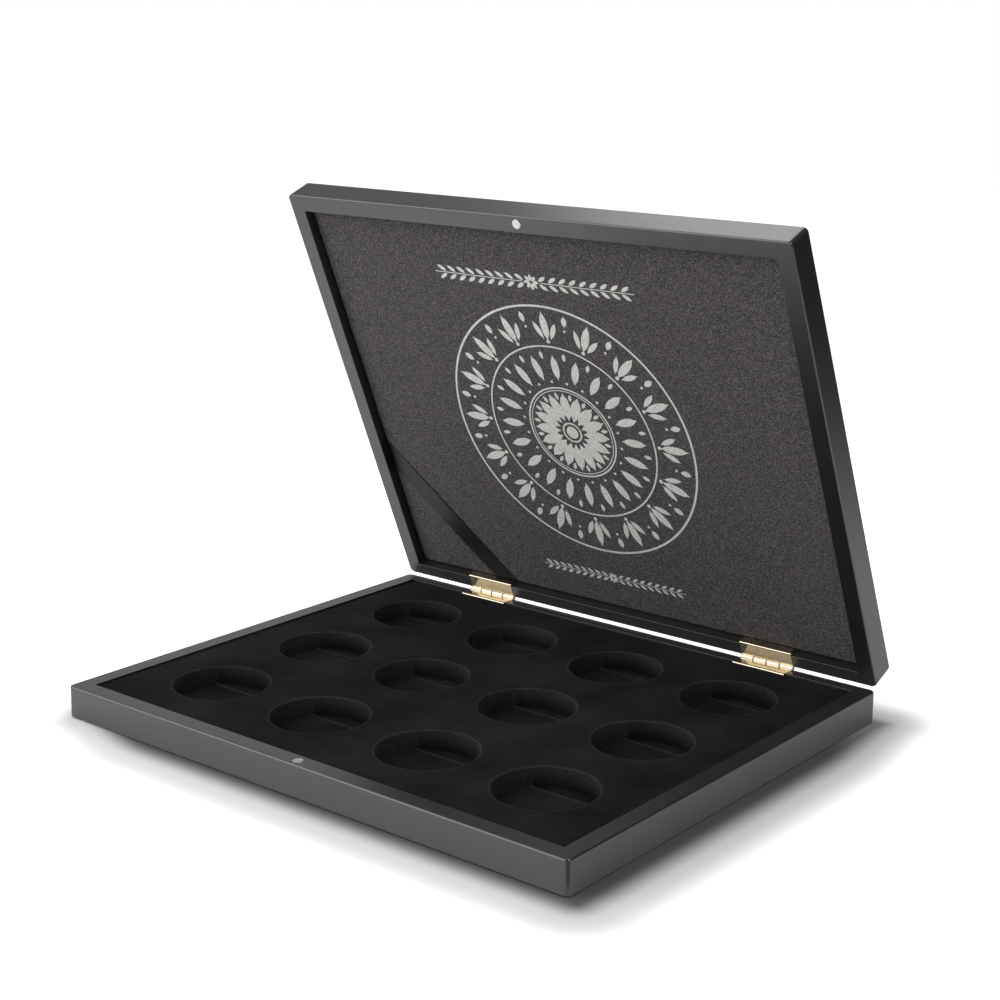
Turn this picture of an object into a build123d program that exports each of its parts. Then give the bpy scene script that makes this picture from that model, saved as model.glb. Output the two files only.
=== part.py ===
from build123d import *
import os

# A shallow hinged display case for round coin capsules, standing open.
# +X runs along the width, +Y towards the hinges and +Z up. The origin is the centre of the underside.
# Millimetres and degrees throughout.

# Case
case_width = 304.0
case_depth = 244.0
corner_radius = 2.5
outer_edge = 1.2
inner_edge = 0.5
rail = 9.0
hinge_rail = 7.0
base_rail_height = 12.4
lid_rail_height = 11.8
board_thickness = 3.0
board_edge = 1.0
velour_thickness = 0.4
velour_inset = 3.0
shut_gap = 0.3
lid_angle = 67.2

# Pocket tray
tray_drop = 1.0
tray_sheet = 1.0
tray_clearance = 0.2
tray_fold = 4.0
tray_edge = 0.6
pocket_columns = 4
pocket_rows = 3
pocket_pitch_x = 66.8
pocket_pitch_y = 70.5
pocket_radius = 23.5
pocket_depth = 8.7
ridge_offset = 13.5

# Lid lining
lining_depth = 6.0
lining_clearance = 0.2
fabric_thickness = 0.8
fabric_edge = 1.2
card_thickness = 2.5
ribbon_width = 12.0
ribbon_thickness = 0.4
ribbon_reach = 62.0

# Magnets
magnet_radius = 2.7
magnet_thickness = 2.5
magnet_clearance = 0.02

# Hinges
hinge_inset = 62.0
hinge_width = 30.0
hinge_side_clearance = 0.1
leaf_thickness = 1.0
leg_height = 5.6
barrel_radius = 1.6
barrel_offset = 1.2
knuckle_gap = 0.3
knuckle_clearance = 0.2
pin_radius = 0.6
pin_clearance = 0.05

# Heights and places that follow from the sizes above
board_top = velour_thickness + board_thickness
rim_z = board_top + base_rail_height
pin_y = case_depth / 2 + barrel_offset
pin_z = rim_z + shut_gap / 2
front_wall = -case_depth / 2 + rail
back_wall = case_depth / 2 - hinge_rail
side_wall = case_width / 2 - rail
room_depth = back_wall - front_wall
room_middle = (back_wall + front_wall) / 2
tray_top = rim_z - tray_drop
pocket_floor = tray_top - pocket_depth
pocket_low = board_top + tray_sheet
hinge_reach = case_width / 2 - hinge_inset
hinge_places = {"left": -hinge_reach, "right": hinge_reach}
BOTTOM = (Align.CENTER, Align.CENTER, Align.MIN)
TOP = (Align.CENTER, Align.CENTER, Align.MAX)
pin_axis = Axis((0, pin_y, pin_z), (1, 0, 0))
shut_plane = Plane((0, 0, pin_z))


def open_lid(part):
    """Turn a piece that was built on the base over onto the lid, then swing the lid open."""
    shut = mirror(part, about=shut_plane)
    return shut.rotate(pin_axis, -lid_angle)


def full_plate(thickness):
    """Full-size board with rounded corners, lying on z = 0."""
    plate = Box(case_width, case_depth, thickness, align=BOTTOM)
    return fillet(plate.edges().filter_by(Axis.Z), corner_radius)


def rail_ring(height):
    """Closed frame of rails under the rim plane, its rim rounded outside and broken inside."""
    ring = Pos(0, 0, rim_z) * Box(case_width, case_depth, height, align=TOP)
    ring = fillet(ring.edges().filter_by(Axis.Z), corner_radius)
    room = Pos(0, room_middle, rim_z) * Box(2 * side_wall, room_depth, height, align=TOP)
    ring = ring - room
    rim = ring.faces().sort_by(Axis.Z)[-1]
    ring = fillet(rim.outer_wire().edges(), outer_edge)
    rim = ring.faces().sort_by(Axis.Z)[-1]
    return chamfer(rim.inner_wires()[0].edges(), inner_edge)


def mitred_rails(height):
    """Frame cut into its four rails at 45 degrees through the inner corners."""
    inner = [(-side_wall, front_wall), (side_wall, front_wall)]
    inner += [(side_wall, back_wall), (-side_wall, back_wall)]
    reach = 2 * rail
    turns = ((-1, -1), (1, -1), (1, 1), (-1, 1))
    outer = [(x + across * reach, y + along * reach) for (x, y), (across, along) in zip(inner, turns)]
    ring = rail_ring(height)
    rails = {}
    for start, side in enumerate(("front", "right", "hinge", "left")):
        end = (start + 1) % 4
        corners = Polyline(outer[start], outer[end], inner[end], inner[start], close=True)
        wedge = Pos(0, 0, rim_z - height) * extrude(make_face(corners), height)
        rails[side] = ring & wedge
    return rails


def seat_hinges(rail_part):
    """Mortises for the hinge leaves and rebates for their barrels."""
    seat_width = hinge_width + 2 * hinge_side_clearance
    rebate = barrel_radius + knuckle_clearance
    corner = (Align.CENTER, Align.MIN, Align.MIN)
    for middle in hinge_places.values():
        mortise = Pos(middle, back_wall - hinge_rail, rim_z - leaf_thickness)
        rail_part = rail_part - mortise * Box(seat_width, 3 * hinge_rail, 2 * leaf_thickness, align=corner)
        step = Pos(middle, pin_y - rebate, pin_z - rebate)
        rail_part = rail_part - step * Box(seat_width, 2 * rebate, 2 * rebate, align=corner)
    return rail_part


def magnet_disc(clearance):
    """Disc magnet flush with the rim, at the middle of the front rail."""
    place = Pos(0, -case_depth / 2 + rail / 2, rim_z)
    return place * Cylinder(magnet_radius + clearance, magnet_thickness, align=TOP)


def rails_with_seats(height):
    """Four rails of one frame, with the magnet's hole and the hinge seats cut."""
    rails = mitred_rails(height)
    rails["front"] = rails["front"] - magnet_disc(magnet_clearance)
    rails["hinge"] = seat_hinges(rails["hinge"])
    return rails


def knuckle_spans(middle):
    """Start and length of the four knuckles along the pin."""
    length = (hinge_width - 3 * knuckle_gap) / 4
    return [(middle - hinge_width / 2 + k * (length + knuckle_gap), length) for k in range(4)]


def leaf(middle, knuckles):
    """Hinge leaf flush in the rim, with a leg down the rail's inner wall and its own knuckles."""
    plate_back = pin_y - barrel_radius - knuckle_clearance
    plate_front = back_wall - leaf_thickness
    left = middle - hinge_width / 2
    corner = Align.MIN
    plate = Pos(left, plate_front, rim_z - leaf_thickness) * Box(
        hinge_width, plate_back - plate_front, leaf_thickness, align=(corner, corner, corner)
    )
    leg = Pos(left, plate_front, rim_z - leg_height) * Box(
        hinge_width, leaf_thickness, leg_height, align=(corner, corner, corner)
    )
    body = plate + leg
    bend = body.edges().filter_by(Axis.X).group_by(Axis.Z)[-1].sort_by(Axis.Y)[0]
    body = fillet(bend, 0.8 * leaf_thickness)
    spans = knuckle_spans(middle)
    for index in knuckles:
        start, length = spans[index]
        root = Pos(start, plate_back, rim_z - leaf_thickness) * Box(
            length, pin_y - plate_back, leaf_thickness, align=(corner, corner, corner)
        )
        curl = Pos(start, pin_y, pin_z) * Rot(0, 90, 0) * Cylinder(barrel_radius, length, align=BOTTOM)
        body = body + root + curl
    bore = Pos(left, pin_y, pin_z) * Rot(0, 90, 0)
    return body - bore * Cylinder(pin_radius + pin_clearance, hinge_width, align=BOTTOM)


def hinge_pin(middle):
    """Plain pin through the four knuckles."""
    return Pos(middle, pin_y, pin_z) * Rot(0, 90, 0) * Cylinder(pin_radius, hinge_width)


def pocket_cup(grow):
    """Round pocket about the origin, its floor flat in front and a ramp behind the ridge.

    grow thickens the cup by the sheet, for its underside.
    """
    radius = pocket_radius + grow
    low = pocket_low - grow
    floor = pocket_floor - grow
    with BuildSketch(Plane.YZ) as profile:
        with BuildLine():
            Polyline(
                (-radius, tray_top),
                (-radius, floor),
                (ridge_offset, floor),
                (radius, low),
                (radius, tray_top),
                close=True,
            )
        make_face()
    round_wall = Pos(0, 0, low) * Cylinder(radius, tray_top - low, align=BOTTOM)
    return round_wall & extrude(profile.sketch, radius, both=True)


def pocket_places():
    """Centres of the pockets, row by row."""
    for row in range(pocket_rows):
        for column in range(pocket_columns):
            x = (column - (pocket_columns - 1) / 2) * pocket_pitch_x
            y = (row - (pocket_rows - 1) / 2) * pocket_pitch_y
            yield (x, y, 0)


def pocket_tray():
    """Thin flocked tray: a top sheet with folded edges and a cup for each pocket."""
    width = 2 * (side_wall - tray_clearance)
    depth = room_depth - 2 * tray_clearance
    fold = tray_fold + tray_sheet
    tray = Pos(0, room_middle, tray_top) * Box(width, depth, fold, align=TOP)
    tray = chamfer(tray.faces().sort_by(Axis.Z)[-1].edges(), tray_edge)
    under = Pos(0, room_middle, tray_top - tray_sheet)
    tray = tray - under * Box(width - 2 * tray_sheet, depth - 2 * tray_sheet, fold, align=TOP)
    for place in pocket_places():
        tray = tray + Pos(place) * pocket_cup(tray_sheet)
    for place in pocket_places():
        tray = tray - Pos(place) * pocket_cup(0)
    notch_depth = leaf_thickness + knuckle_clearance
    for middle in hinge_places.values():
        notch = Pos(middle, back_wall - notch_depth, tray_top + tray_edge)
        tray = tray - notch * Box(
            hinge_width + 2 * tray_clearance,
            notch_depth,
            fold + 2 * tray_edge,
            align=(Align.CENTER, Align.MIN, Align.MAX),
        )
    return tray


def lining_room(inset, thickness):
    """Flat sheet that fills the lid inside its rails, less the inset, on z = 0."""
    width = 2 * (side_wall - inset)
    depth = room_depth - 2 * inset
    return Pos(0, room_middle, 0) * Box(width, depth, thickness, align=BOTTOM)


def lining_parts():
    """Card, foam and cover cloth of the lid lining, built on the base side under the rim."""
    face_z = rim_z - lining_depth
    floor_z = rim_z - lid_rail_height
    wrap = lining_clearance + fabric_thickness
    inner_height = face_z - fabric_thickness - floor_z
    cover = Pos(0, 0, floor_z) * lining_room(lining_clearance, face_z - floor_z)
    cover = fillet(cover.faces().sort_by(Axis.Z)[-1].edges(), fabric_edge)
    cover = cover - Pos(0, 0, floor_z) * lining_room(wrap, inner_height)
    card = Pos(0, 0, floor_z) * lining_room(wrap, card_thickness)
    padding = Pos(0, 0, floor_z + card_thickness)
    padding = padding * lining_room(wrap, inner_height - card_thickness)
    return card, padding, cover


def lid_ribbon():
    """Flat ribbon across the lining's left hinge-side corner, cut off at the rails."""
    face_z = rim_z - lining_depth
    place = Pos(-side_wall, back_wall - ribbon_reach, face_z) * Rot(0, 0, 45)
    strip = place * Box(4 * ribbon_reach, ribbon_width, ribbon_thickness, align=BOTTOM)
    return strip & Pos(0, 0, face_z) * lining_room(lining_clearance + fabric_edge, ribbon_thickness)


def base_parts():
    """Everything that stands on the table."""
    parts = {}
    board = Pos(0, 0, velour_thickness) * full_plate(board_thickness)
    parts["base_board"] = chamfer(board.faces().sort_by(Axis.Z)[0].edges(), board_edge)
    parts["underside_velour"] = Box(
        case_width - 2 * velour_inset, case_depth - 2 * velour_inset, velour_thickness, align=BOTTOM
    )
    for side, rail_part in rails_with_seats(base_rail_height).items():
        parts[f"base_{side}_rail"] = rail_part
    parts["pocket_tray"] = pocket_tray()
    parts["base_magnet"] = magnet_disc(0)
    for side, middle in hinge_places.items():
        parts[f"hinge_{side}_base_leaf"] = leaf(middle, (1, 2))
        parts[f"hinge_{side}_pin"] = hinge_pin(middle)
    return parts


def lid_parts():
    """Everything that swings, built as on the base and then turned over and opened."""
    parts = {}
    board = Pos(0, 0, rim_z - lid_rail_height - board_thickness) * full_plate(board_thickness)
    parts["lid_board"] = fillet(board.faces().sort_by(Axis.Z)[0].edges(), outer_edge)
    for side, rail_part in rails_with_seats(lid_rail_height).items():
        parts[f"lid_{side}_rail"] = rail_part
    parts["lining_card"], parts["lining_padding"], parts["lining_fabric"] = lining_parts()
    parts["lid_ribbon"] = lid_ribbon()
    parts["lid_magnet"] = magnet_disc(0)
    for side, middle in hinge_places.items():
        parts[f"hinge_{side}_lid_leaf"] = leaf(middle, (0, 3))
    return {name: open_lid(part) for name, part in parts.items()}


os.makedirs("parts", exist_ok=True)
for node, shape in {**base_parts(), **lid_parts()}.items():
    export_step(shape, f"parts/{node}.step")
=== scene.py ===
import math

import bmesh
import bpy
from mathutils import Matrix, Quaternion, Vector


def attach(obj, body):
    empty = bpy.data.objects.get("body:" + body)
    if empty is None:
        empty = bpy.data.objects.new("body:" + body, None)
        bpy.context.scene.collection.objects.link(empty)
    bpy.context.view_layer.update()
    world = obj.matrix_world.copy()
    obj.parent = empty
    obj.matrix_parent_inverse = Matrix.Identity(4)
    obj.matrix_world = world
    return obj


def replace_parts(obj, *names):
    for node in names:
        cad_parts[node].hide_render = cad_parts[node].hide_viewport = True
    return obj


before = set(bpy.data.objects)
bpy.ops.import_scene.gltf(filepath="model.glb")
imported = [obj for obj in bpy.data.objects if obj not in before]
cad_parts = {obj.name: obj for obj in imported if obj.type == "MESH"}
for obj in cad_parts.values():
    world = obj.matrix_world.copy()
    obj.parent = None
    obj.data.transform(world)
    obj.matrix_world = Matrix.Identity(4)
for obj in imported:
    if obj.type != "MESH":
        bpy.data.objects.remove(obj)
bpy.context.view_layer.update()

# ---------------------------------------------------------------- base board
# A sheet of fibreboard that closes the case below, its outer edge rounded.
# Board and rails are glued up, sanded flush and lacquered as one, so no joint shows outside.
mm = 0.001
case_width = 304 * mm
case_depth = 244 * mm
corner_radius = 2.5 * mm
velour_thickness = 0.4 * mm
board_thickness = 3 * mm
board_edge = 0.4 * mm
board_top = velour_thickness + board_thickness
tiny = 0.01 * mm


def alone(piece):
    """Select one piece and nothing else."""
    bpy.ops.object.select_all(action="DESELECT")
    piece.select_set(True)
    bpy.context.view_layer.objects.active = piece


def pick(piece, kind, wanted):
    """Go into edit mode with the faces, edges or vertices selected that pass the test."""
    alone(piece)
    bpy.ops.object.mode_set(mode="EDIT")
    bpy.ops.mesh.select_mode(type=kind)
    bpy.ops.mesh.select_all(action="DESELECT")
    shell = bmesh.from_edit_mesh(piece.data)
    parts = {"FACE": shell.faces, "EDGE": shell.edges, "VERT": shell.verts}[kind]
    for part in parts:
        if wanted(part):
            part.select_set(True)
    bmesh.update_edit_mesh(piece.data)


def pick_all(piece):
    """Go into edit mode with the whole mesh selected."""
    alone(piece)
    bpy.ops.object.mode_set(mode="EDIT")
    bpy.ops.mesh.select_all(action="SELECT")


def put_down():
    """Leave edit mode."""
    bpy.ops.object.mode_set(mode="OBJECT")


def stretch(value, about=(0, 0, 0)):
    """Scale what is selected about a point."""
    bpy.ops.transform.resize(value=value, center_override=about)


def shift(value):
    """Move what is selected."""
    bpy.ops.transform.translate(value=value)


def newest(name):
    """Name the object that was just added."""
    piece = bpy.context.object
    piece.name = piece.data.name = name
    return piece


def block(name, low, high):
    """Closed box between two corners."""
    bpy.ops.mesh.primitive_cube_add(size=1)
    piece = newest(name)
    pick_all(piece)
    stretch([h - l for l, h in zip(low, high)])
    shift([(h + l) / 2 for l, h in zip(low, high)])
    put_down()
    return piece


def upright(edge):
    """Whether an edge runs up and down."""
    return abs(edge.verts[0].co.z - edge.verts[1].co.z) > tiny


def along(part, axis, place):
    """Whether a whole edge or face lies at one place on an axis."""
    return all(abs(end.co[axis] - place) < tiny for end in part.verts)


def round_edges(piece, wanted, radius, segments):
    """Round the edges that pass the test."""
    pick(piece, "EDGE", wanted)
    bpy.ops.mesh.bevel(offset=radius, segments=segments, profile=0.5, affect="EDGES")
    put_down()


def apply_modifier(piece, kind, **settings):
    """Add one modifier, set it and apply it."""
    alone(piece)
    modifier = piece.modifiers.new(kind.title(), kind)
    for name, value in settings.items():
        setattr(modifier, name, value)
    bpy.ops.object.modifier_apply(modifier=modifier.name)


def smooth(piece, degrees=32):
    """Smooth shading that keeps flat faces flat and corners crisp."""
    alone(piece)
    bpy.ops.object.shade_smooth_by_angle(angle=math.radians(degrees))
    apply_modifier(piece, "WEIGHTED_NORMAL", keep_sharp=True, weight=80)


def full_plate(name, bottom, top):
    """Full-size plate with rounded upright corners."""
    piece = block(
        name,
        (-case_width / 2, -case_depth / 2, bottom),
        (case_width / 2, case_depth / 2, top),
    )
    round_edges(piece, upright, corner_radius, 8)
    return piece


base_board = full_plate("base_board_panel", velour_thickness, board_top)
round_edges(base_board, lambda edge: along(edge, 2, velour_thickness), board_edge, 4)
smooth(base_board)
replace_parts(base_board, "base_board")
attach(base_board, "base")


def socket(group, name, default=None, side="INPUT", kind="NodeSocketFloat"):
    """One named socket of a node group."""
    made = group.interface.new_socket(name=name, in_out=side, socket_type=kind)
    if default is not None:
        made.default_value = default


def wire(tree, source, output, target, entry):
    """Join two nodes by the names or numbers of their sockets."""
    tree.links.new(source.outputs[output], target.inputs[entry])


def material(name, color, roughness, **values):
    """A material with its Principled shader and the piece's own coordinates.

    The shader's other entries are given by name, with _ for a space.
    """
    made = bpy.data.materials.new(name)
    made.use_nodes = True
    tree = made.node_tree
    shader = tree.nodes["Principled BSDF"]
    shader.inputs["Base Color"].default_value = (*color, 1)
    shader.inputs["Roughness"].default_value = roughness
    for entry, value in values.items():
        shader.inputs[entry.replace("_", " ")].default_value = value
    place = tree.nodes.new("ShaderNodeTexCoord")
    return made, tree, shader, place


def mottle_group():
    """Soft cloudy change between two values, used on most finishes."""
    group = bpy.data.node_groups.new("mottle", "ShaderNodeTree")
    socket(group, "Place", kind="NodeSocketVector")
    for name, default in (("Scale", 100.0), ("Detail", 2.0), ("Low", 0.0), ("High", 1.0)):
        socket(group, name, default)
    socket(group, "Value", side="OUTPUT")
    start = group.nodes.new("NodeGroupInput")
    noise = group.nodes.new("ShaderNodeTexNoise")
    spread = group.nodes.new("ShaderNodeMapRange")
    spread.inputs["From Min"].default_value = 0.3
    spread.inputs["From Max"].default_value = 0.7
    end = group.nodes.new("NodeGroupOutput")
    for name, node, entry in (
        ("Place", noise, "Vector"),
        ("Scale", noise, "Scale"),
        ("Detail", noise, "Detail"),
        ("Low", spread, "To Min"),
        ("High", spread, "To Max"),
    ):
        wire(group, start, name, node, entry)
    wire(group, noise, "Fac", spread, "Value")
    wire(group, spread, "Result", end, "Value")
    return group


mottle = mottle_group()


def add_mottle(tree, place, scale, low=0.0, high=1.0, detail=2.0):
    """Put the cloudy change into a material; scale is roughly the clouds in a metre."""
    node = tree.nodes.new("ShaderNodeGroup")
    node.node_tree = mottle
    wire(tree, place, "Object", node, "Place")
    for entry, value in (("Scale", scale), ("Detail", detail), ("Low", low), ("High", high)):
        node.inputs[entry].default_value = value
    return node.outputs[0]


def feed(tree, entry, value):
    """Give a node's entry a number, a colour or another node's output."""
    if isinstance(value, bpy.types.NodeSocket):
        tree.links.new(value, entry)
    else:
        entry.default_value = value if isinstance(value, (int, float)) else (*value, 1)


def tint(tree, value, dark, light, blend="MIX"):
    """Turn a value into a colour between two; any of the three may be another node's output."""
    ramp = tree.nodes.new("ShaderNodeMix")
    ramp.data_type = "RGBA"
    ramp.blend_type = blend
    for entry, part in ((0, value), (6, dark), (7, light)):
        feed(tree, ramp.inputs[entry], part)
    return ramp.outputs[2]


def paint(tree, shader, value, dark, light):
    """Let the surface's colour follow a changing value."""
    tree.links.new(tint(tree, value, dark, light), shader.inputs["Base Color"])


def bump(tree, shader, height, strength, distance):
    """Small relief from a changing value."""
    node = tree.nodes.new("ShaderNodeBump")
    node.inputs["Strength"].default_value = strength
    node.inputs["Distance"].default_value = distance
    tree.links.new(height, node.inputs["Height"])
    tree.links.new(node.outputs["Normal"], shader.inputs["Normal"])


def lacquer_material():
    """Black satin lacquer: nearly all its grey is reflected, with a slightly uneven gloss."""
    made, tree, shader, place = material("satin_lacquer", (0.014, 0.013, 0.014), 0.32, IOR=1.95)
    shade = add_mottle(tree, place, scale=55, detail=3)
    paint(tree, shader, shade, dark=(0.012, 0.011, 0.012), light=(0.017, 0.0155, 0.017))
    gloss = add_mottle(tree, place, scale=120, low=0.31, high=0.33)
    tree.links.new(gloss, shader.inputs["Roughness"])
    peel = add_mottle(tree, place, scale=500, detail=1)
    bump(tree, shader, peel, strength=0.01, distance=0.03 * mm)
    return made


lacquer = lacquer_material()
base_board.data.materials.append(lacquer)

# ---------------------------------------------------------------- base rails
# Four fibreboard rails stand on the board, mitred through the inner corners and glued.
# The rim is rounded outside and broken inside. The hinge rail is crisper and has the hinges' seats.
rim_z = 15.8 * mm
rail = 9 * mm
hinge_rail = 7 * mm
outer_edge = 0.8 * mm
hinge_edge = 0.3 * mm
inner_edge = 0.15 * mm
side_wall = case_width / 2 - rail
front_wall = -case_depth / 2 + rail
back_wall = case_depth / 2 - hinge_rail
hinge_inset = 62 * mm
hinge_middles = {"left": hinge_inset - case_width / 2, "right": case_width / 2 - hinge_inset}
hinge_width = 30 * mm
hinge_side_clearance = 0.1 * mm
leaf_thickness = 1 * mm
barrel_radius = 1.6 * mm
knuckle_clearance = 0.2 * mm
shut_gap = 0.3 * mm
pin_y = case_depth / 2 + 1.2 * mm
pin_z = rim_z + shut_gap / 2
magnet_radius = 2.7 * mm
magnet_depth = 2.5 * mm
magnet_y = -case_depth / 2 + rail / 2
drill_start = 1 * mm
walls = {
    "front": Vector((0, front_wall, 0)),
    "right": Vector((side_wall, 0, 0)),
    "hinge": Vector((0, back_wall, 0)),
    "left": Vector((-side_wall, 0, 0)),
}
inwards = {side: -wall.normalized() for side, wall in walls.items()}


def cut_off(piece, point, normal):
    """Cut away what lies on the normal's side of a plane and close the cut."""
    pick_all(piece)
    bpy.ops.mesh.bisect(plane_co=point, plane_no=normal, use_fill=True, clear_outer=True)
    put_down()


def carve(piece, tool):
    """Take one piece's shape out of another."""
    apply_modifier(piece, "BOOLEAN", operation="DIFFERENCE", solver="EXACT", object=tool)
    bpy.data.objects.remove(tool)


def round_rod(name, radius, low, high, sides=64):
    """Closed upright rod on the Z axis."""
    bpy.ops.mesh.primitive_cylinder_add(radius=radius, depth=high - low, vertices=sides)
    piece = newest(name)
    pick_all(piece)
    shift((0, 0, (high + low) / 2))
    put_down()
    return piece


def move(piece, offset):
    """Move a piece's mesh and leave its object at the origin."""
    pick_all(piece)
    shift(offset)
    put_down()
    return piece


def rail_piece(name, side, height):
    """One mitred rail under the rim, with its rounded edges."""
    wall, inward = walls[side], inwards[side]
    piece = full_plate(name, rim_z - height, rim_z)
    outside = hinge_edge if side == "hinge" else outer_edge
    round_edges(piece, lambda edge: along(edge, 2, rim_z), outside, 6)
    cut_off(piece, wall, inward)
    for other in walls:
        outward = -inwards[other]
        if abs(outward.dot(inward)) < 0.5:
            cut_off(piece, wall + walls[other], inward + outward)
    axis = 1 if abs(inward.y) > 0.5 else 0
    inner_rim = lambda edge: along(edge, 2, rim_z) and along(edge, axis, wall[axis])
    round_edges(piece, inner_rim, inner_edge, 3)
    return piece


def seat_hinges(piece):
    """Rebates for the barrels and mortises for the leaves."""
    half = hinge_width / 2 + hinge_side_clearance
    rebate = barrel_radius + knuckle_clearance
    for middle in hinge_middles.values():
        barrel_seat = block(
            "barrel_seat",
            (middle - half, pin_y - rebate, pin_z - rebate),
            (middle + half, pin_y + rebate, pin_z + rebate),
        )
        carve(piece, barrel_seat)
        leaf_seat = block(
            "leaf_seat",
            (middle - half, back_wall - hinge_rail, rim_z - leaf_thickness),
            (middle + half, pin_y - rebate / 2, rim_z + leaf_thickness),
        )
        carve(piece, leaf_seat)


def frame_of_rails(prefix, height, finish=None):
    """The four rails of the base, or of the lid with a finish that turns each over onto it."""
    for side in walls:
        piece = rail_piece(f"{prefix}_{side}_rail_lacquered", side, height)
        if side == "front":
            low, high = rim_z - magnet_depth, rim_z + drill_start
            hole = round_rod("magnet_hole", magnet_radius, low, high)
            carve(piece, move(hole, (0, magnet_y, 0)))
        if side == "hinge":
            seat_hinges(piece)
        if finish:
            finish(piece)
        smooth(piece)
        piece.data.materials.append(lacquer)
        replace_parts(piece, f"{prefix}_{side}_rail")
        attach(piece, prefix)


frame_of_rails("base", rim_z - board_top)

# ---------------------------------------------------------------- underside velour
# Thin black velour is glued under the board, set in from its edge, and protects the table.
# Its corners are cut round and its cut edge is slightly soft.
velour_inset = 3 * mm
velour_corner = 1.5 * mm
velour_cut_edge = 0.15 * mm
velour_width = case_width - 2 * velour_inset
velour_depth = case_depth - 2 * velour_inset
velour = block(
    "velour_underside",
    (-velour_width / 2, -velour_depth / 2, 0),
    (velour_width / 2, velour_depth / 2, velour_thickness),
)
round_edges(velour, upright, velour_corner, 4)
round_edges(velour, lambda edge: along(edge, 2, 0), velour_cut_edge, 2)
smooth(velour)
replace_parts(velour, "underside_velour")
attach(velour, "base")


def speckle_group():
    """Separate light and dark grains, as in flock, felt and glitter."""
    group = bpy.data.node_groups.new("speckle", "ShaderNodeTree")
    socket(group, "Place", kind="NodeSocketVector")
    socket(group, "Scale", 1800.0)
    socket(group, "Contrast", 1.0)
    socket(group, "Value", side="OUTPUT")
    socket(group, "Color", side="OUTPUT", kind="NodeSocketColor")
    start = group.nodes.new("NodeGroupInput")
    cells = group.nodes.new("ShaderNodeTexVoronoi")
    channels = group.nodes.new("ShaderNodeSeparateColor")
    curve = group.nodes.new("ShaderNodeMath")
    curve.operation = "POWER"
    end = group.nodes.new("NodeGroupOutput")
    wire(group, start, "Place", cells, "Vector")
    wire(group, start, "Scale", cells, "Scale")
    wire(group, cells, "Color", channels, "Color")
    wire(group, channels, "Red", curve, 0)
    wire(group, start, "Contrast", curve, 1)
    wire(group, curve, 0, end, "Value")
    wire(group, cells, "Color", end, "Color")
    return group


speckle = speckle_group()


def add_speckle(tree, place, scale, contrast):
    """Put the grains into a material; scale counts grains in a metre."""
    node = tree.nodes.new("ShaderNodeGroup")
    node.node_tree = speckle
    wire(tree, place, "Object", node, "Place")
    node.inputs["Scale"].default_value = scale
    node.inputs["Contrast"].default_value = contrast
    return node


def add_step(tree, operation, first, second):
    """Arithmetic on two values, each a number or another node's output."""
    node = tree.nodes.new("ShaderNodeMath")
    node.operation = operation
    feed(tree, node.inputs[0], first)
    feed(tree, node.inputs[1], second)
    return node.outputs[0]


def pile_material(name, dark, light, sheen, fibre_scale):
    """Short standing pile: uneven dark colour, soft sheen and a fibrous relief.

    The tray's attribute paints highlights on the pockets' lips and ridges and shade behind each
    ridge, and greys the walls, partly for the thinner pile there and partly as painted light.
    """
    entries = {"Specular_IOR_Level": 0.05, "Sheen_Weight": sheen, "Sheen_Roughness": 0.25}
    made, tree, shader, place = material(name, dark, 0.95, **entries)
    brushed = add_mottle(tree, place, scale=28, high=0.7, detail=3)
    fibres = add_speckle(tree, place, fibre_scale, contrast=1).outputs[0]
    # painted highlights and painted shade in the pockets, added to the pile's uneven tone
    thin_and_lit = tree.nodes.new("ShaderNodeAttribute")
    thin_and_lit.attribute_name = "thin_pile_and_painted_light"
    tone = add_step(tree, "ADD", thin_and_lit.outputs["Fac"], brushed)
    # each fibre shows from 0.3 to 0.8 of that tone
    grain = add_step(tree, "ADD", add_step(tree, "MULTIPLY", fibres, 0.5), 0.3)
    paint(tree, shader, add_step(tree, "MULTIPLY", tone, grain), dark, light)
    bump(tree, shader, fibres, strength=0.2, distance=0.08 * mm)
    return made


velour_dark, velour_light = (0.010, 0.010, 0.011), (0.024, 0.023, 0.025)
velour.data.materials.append(
    pile_material("black_velour", velour_dark, velour_light, sheen=0.2, fibre_scale=2600)
)

# ---------------------------------------------------------------- pocket tray
# One sheet of plastic, formed over a mould and flocked black, dropped in on the board.
# Twelve round pockets have a soft lip; behind a ridge the floor dips, so a pressed coin tips up.
tray_drop = 1 * mm
tray_top = rim_z - tray_drop
tray_sheet = 1 * mm
tray_clearance = 0.1 * mm
tray_fold = 5 * mm
tray_edge = 0.4 * mm
tray_half_width = side_wall - tray_clearance
tray_half_depth = (back_wall - front_wall) / 2 - tray_clearance
tray_middle = (back_wall + front_wall) / 2
pitch_x = 66.8 * mm
pitch_y = 70.5 * mm
columns, rows = 4, 3
pocket_radius = 23.5 * mm
pocket_lip = 0.6 * mm
# a flat band round each mouth, over which the painted highlight on the lip fades in
lip_highlight_band = 0.6 * mm
pocket_draft = 0.2 * mm
pocket_floor = tray_top - 8.7 * mm
pocket_low = board_top + 1 * mm
floor_round = 0.9 * mm
ridge_y = 13.5 * mm
ridge_round = 0.5 * mm
# a band along each ridge for its painted highlight; walls greyed partly for thinner pile and partly
# as painted light; painted shade on the floor behind the ridge
ridge_highlight_band = 2.5 * mm
wall_thin_and_lit = 0.35
dip_painted_shade = -0.4
pocket_sides = 64
merge_distance = 0.005 * mm


def arc_steps(size, count, inside):
    """Inset steps (inward, up) down a quarter round: a lip, or the round into a floor."""
    turns = [math.pi / 2 * k / count for k in range(count + 1)]
    if inside:
        arc = [(1 - math.cos(t), math.sin(t)) for t in turns]
    else:
        arc = [(math.sin(t), 1 - math.cos(t)) for t in turns]
    return [(size * (b[0] - a[0]), size * (a[1] - b[1])) for a, b in zip(arc, arc[1:])]


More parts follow.
